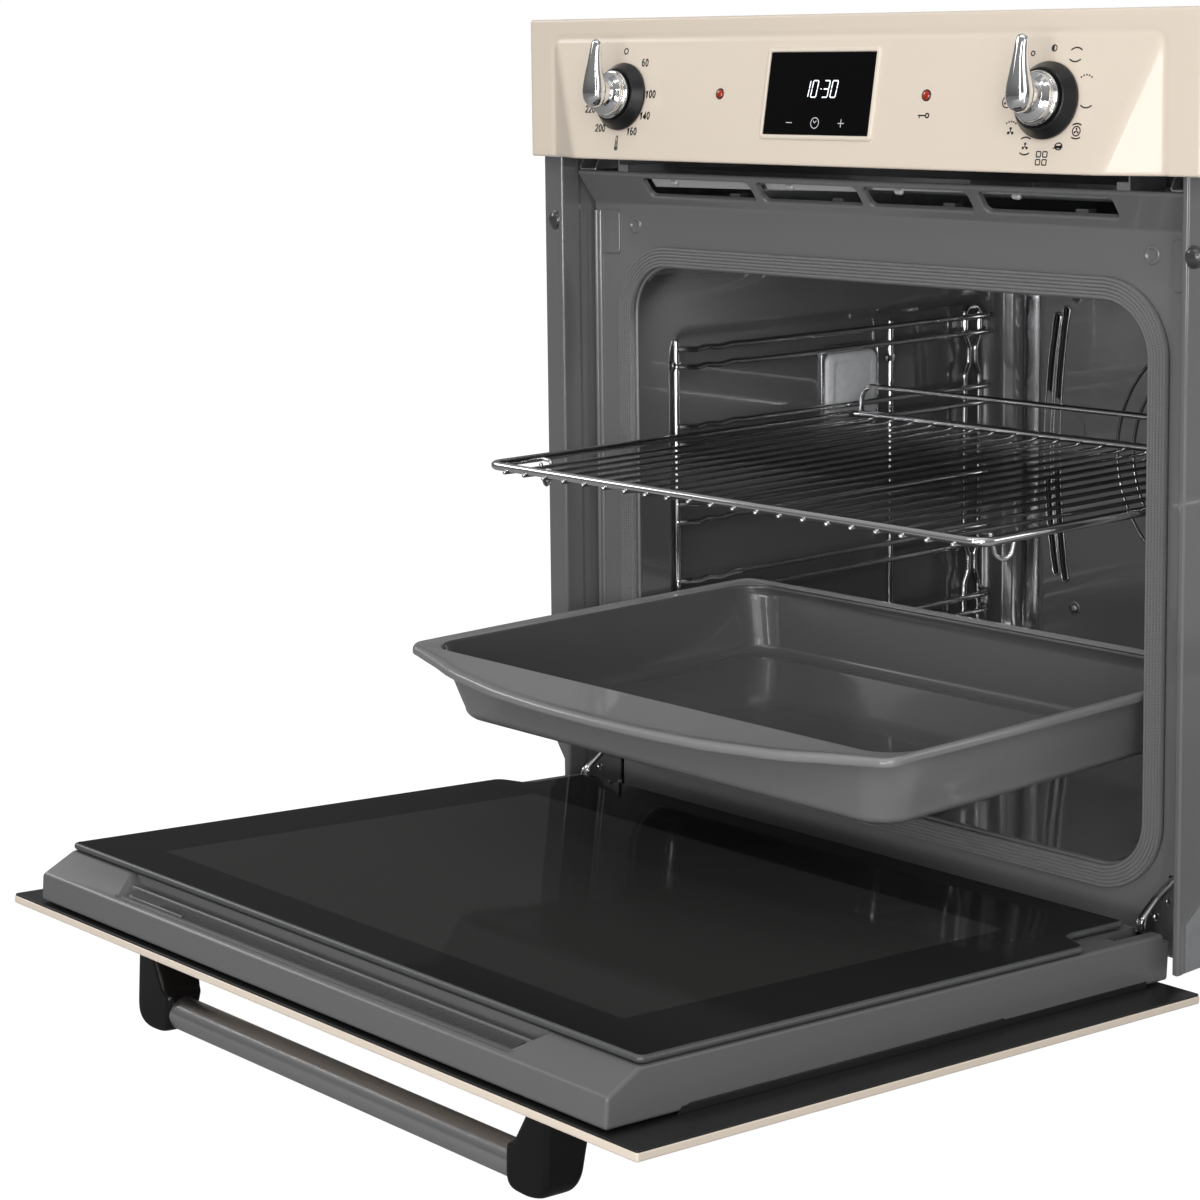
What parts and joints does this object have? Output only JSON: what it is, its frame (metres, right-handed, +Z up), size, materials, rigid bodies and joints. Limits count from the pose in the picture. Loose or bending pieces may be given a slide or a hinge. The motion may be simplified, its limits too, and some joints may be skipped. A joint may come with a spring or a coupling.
{
  "type": "built-in oven",
  "caption": "Built-in electric oven with a drop-down glazed door, lever knobs, display, wire shelf, deep tray, side racks and rear fan.",
  "frame": {"origin": "centre of the flat base face the oven stands on in its cabinet", "axes": "+X to the right seen from the front, +Y from the door toward the back, +Z up"},
  "size_m": [0.597, 1.0165, 0.6325],
  "materials": {
    "cream_enamel": "satin enamel",
    "grey_enamel": "semi-gloss vitreous enamel",
    "frame_grey": "satin enamel",
    "trim_grey": "satin",
    "black_gloss": "gloss",
    "black_soft": "satin",
    "chrome": "polished",
    "brushed_steel": "brushed",
    "galvanised": "galvanised sheet",
    "gasket_fibre": "woven glass fibre",
    "insulation": "fibre mat",
    "heater": "oxidised tube",
    "clear_glass": "clear",
    "dark_glass": "tinted, gloss",
    "red_lens": "gloss translucent",
    "board_green": "matt",
    "tray_grey": "semi-gloss enamel",
    "ceramic_white": "matt",
    "black_sheet": "satin"
  },
  "bodies": {
    "carcass": {"base_pan": "galvanised", "side_panel_left": "galvanised", "side_panel_right": "galvanised", "rear_panel": "galvanised", "top_cover": "galvanised", "side_trim_left": "trim_grey", "side_trim_right": "trim_grey", "cabinet_screws": "frame_grey", "front_frame": "frame_grey", "door_gasket": "gasket_fibre", "cavity_shell": "grey_enamel", "fan_cover": "grey_enamel", "fan_motor": "galvanised", "ring_element": "heater", "grill_element": "heater", "bottom_element": "heater", "temperature_sensor": "brushed_steel", "rack_left": "chrome", "rack_right": "chrome", "lamp_housing": "brushed_steel", "lamp_glass": "clear_glass", "lamp_bulb": "clear_glass", "insulation_blanket": "insulation", "air_duct": "galvanised", "blower_housing": "galvanised", "blower_motor": "galvanised", "terminal_block": "ceramic_white", "hinge_pocket_left": "galvanised", "hinge_pocket_right": "galvanised", "control_fascia": "cream_enamel", "display_bezel": "cream_enamel", "display_glass": "black_gloss", "display_module": "board_green", "indicator_lenses": "red_lens", "control_bracket": "galvanised", "thermostat_switch": "ceramic_white", "selector_switch": "ceramic_white"},
    "door": {"door_outer_panel": "cream_enamel", "door_liner": "black_sheet", "door_outer_glass": "dark_glass", "door_frame": "frame_grey", "door_vent_strip": "frame_grey", "door_inner_glass": "dark_glass", "door_middle_glass": "clear_glass", "glass_clips": "black_soft", "handle_bar": "brushed_steel", "handle_posts": "black_gloss", "handle_screws": "brushed_steel", "hinge_arm_left": "galvanised", "hinge_arm_right": "galvanised"},
    "thermostat_control": {"thermostat_shaft": "brushed_steel", "thermostat_skirt": "black_gloss", "thermostat_knob": "chrome"},
    "function_control": {"function_shaft": "brushed_steel", "function_skirt": "black_gloss", "function_knob": "chrome"},
    "shelf": {"wire_shelf": "chrome"},
    "tray": {"baking_tray": "tray_grey"},
    "fan": {"convection_fan": "galvanised"},
    "blower": {"blower_rotor": "galvanised"}
  },
  "joints": [
    {"name": "door_hinge", "type": "hinge", "parent": "carcass", "child": "door", "pos_m": [0, -0.2835, 0.013], "axis": [1, 0, 0], "range_deg": [-86, 0]},
    {"name": "shelf_slide", "type": "slide", "parent": "carcass", "child": "shelf", "axis": [0, 1, 0], "range_m": [0, 0.1605]},
    {"name": "tray_slide", "type": "slide", "parent": "carcass", "child": "tray", "axis": [0, 1, 0], "range_m": [0, 0.2905]},
    {"name": "thermostat_turn", "type": "hinge", "parent": "carcass", "child": "thermostat_control", "pos_m": [-0.1909, -0.30964, 0.53651], "axis": [0, 0.9848, -0.1736], "range_deg": [0, 290]},
    {"name": "function_turn", "type": "hinge", "parent": "carcass", "child": "function_control", "pos_m": [0.1909, -0.30964, 0.53651], "axis": [0, 0.9848, -0.1736], "continuous": true},
    {"name": "fan_spin", "type": "hinge", "parent": "carcass", "child": "fan", "pos_m": [0, 0.1775, 0.2435], "axis": [0, 1, 0], "continuous": true},
    {"name": "blower_spin", "type": "hinge", "parent": "carcass", "child": "blower", "pos_m": [0, 0.1555, 0.47], "axis": [0, 0, 1], "continuous": true}
  ],
  "couplings": [
    {"joint": "shelf_slide", "follows": "door_hinge", "m_per_rad": -0.1066},
    {"joint": "tray_slide", "follows": "door_hinge", "m_per_rad": -0.19321}
  ]
}
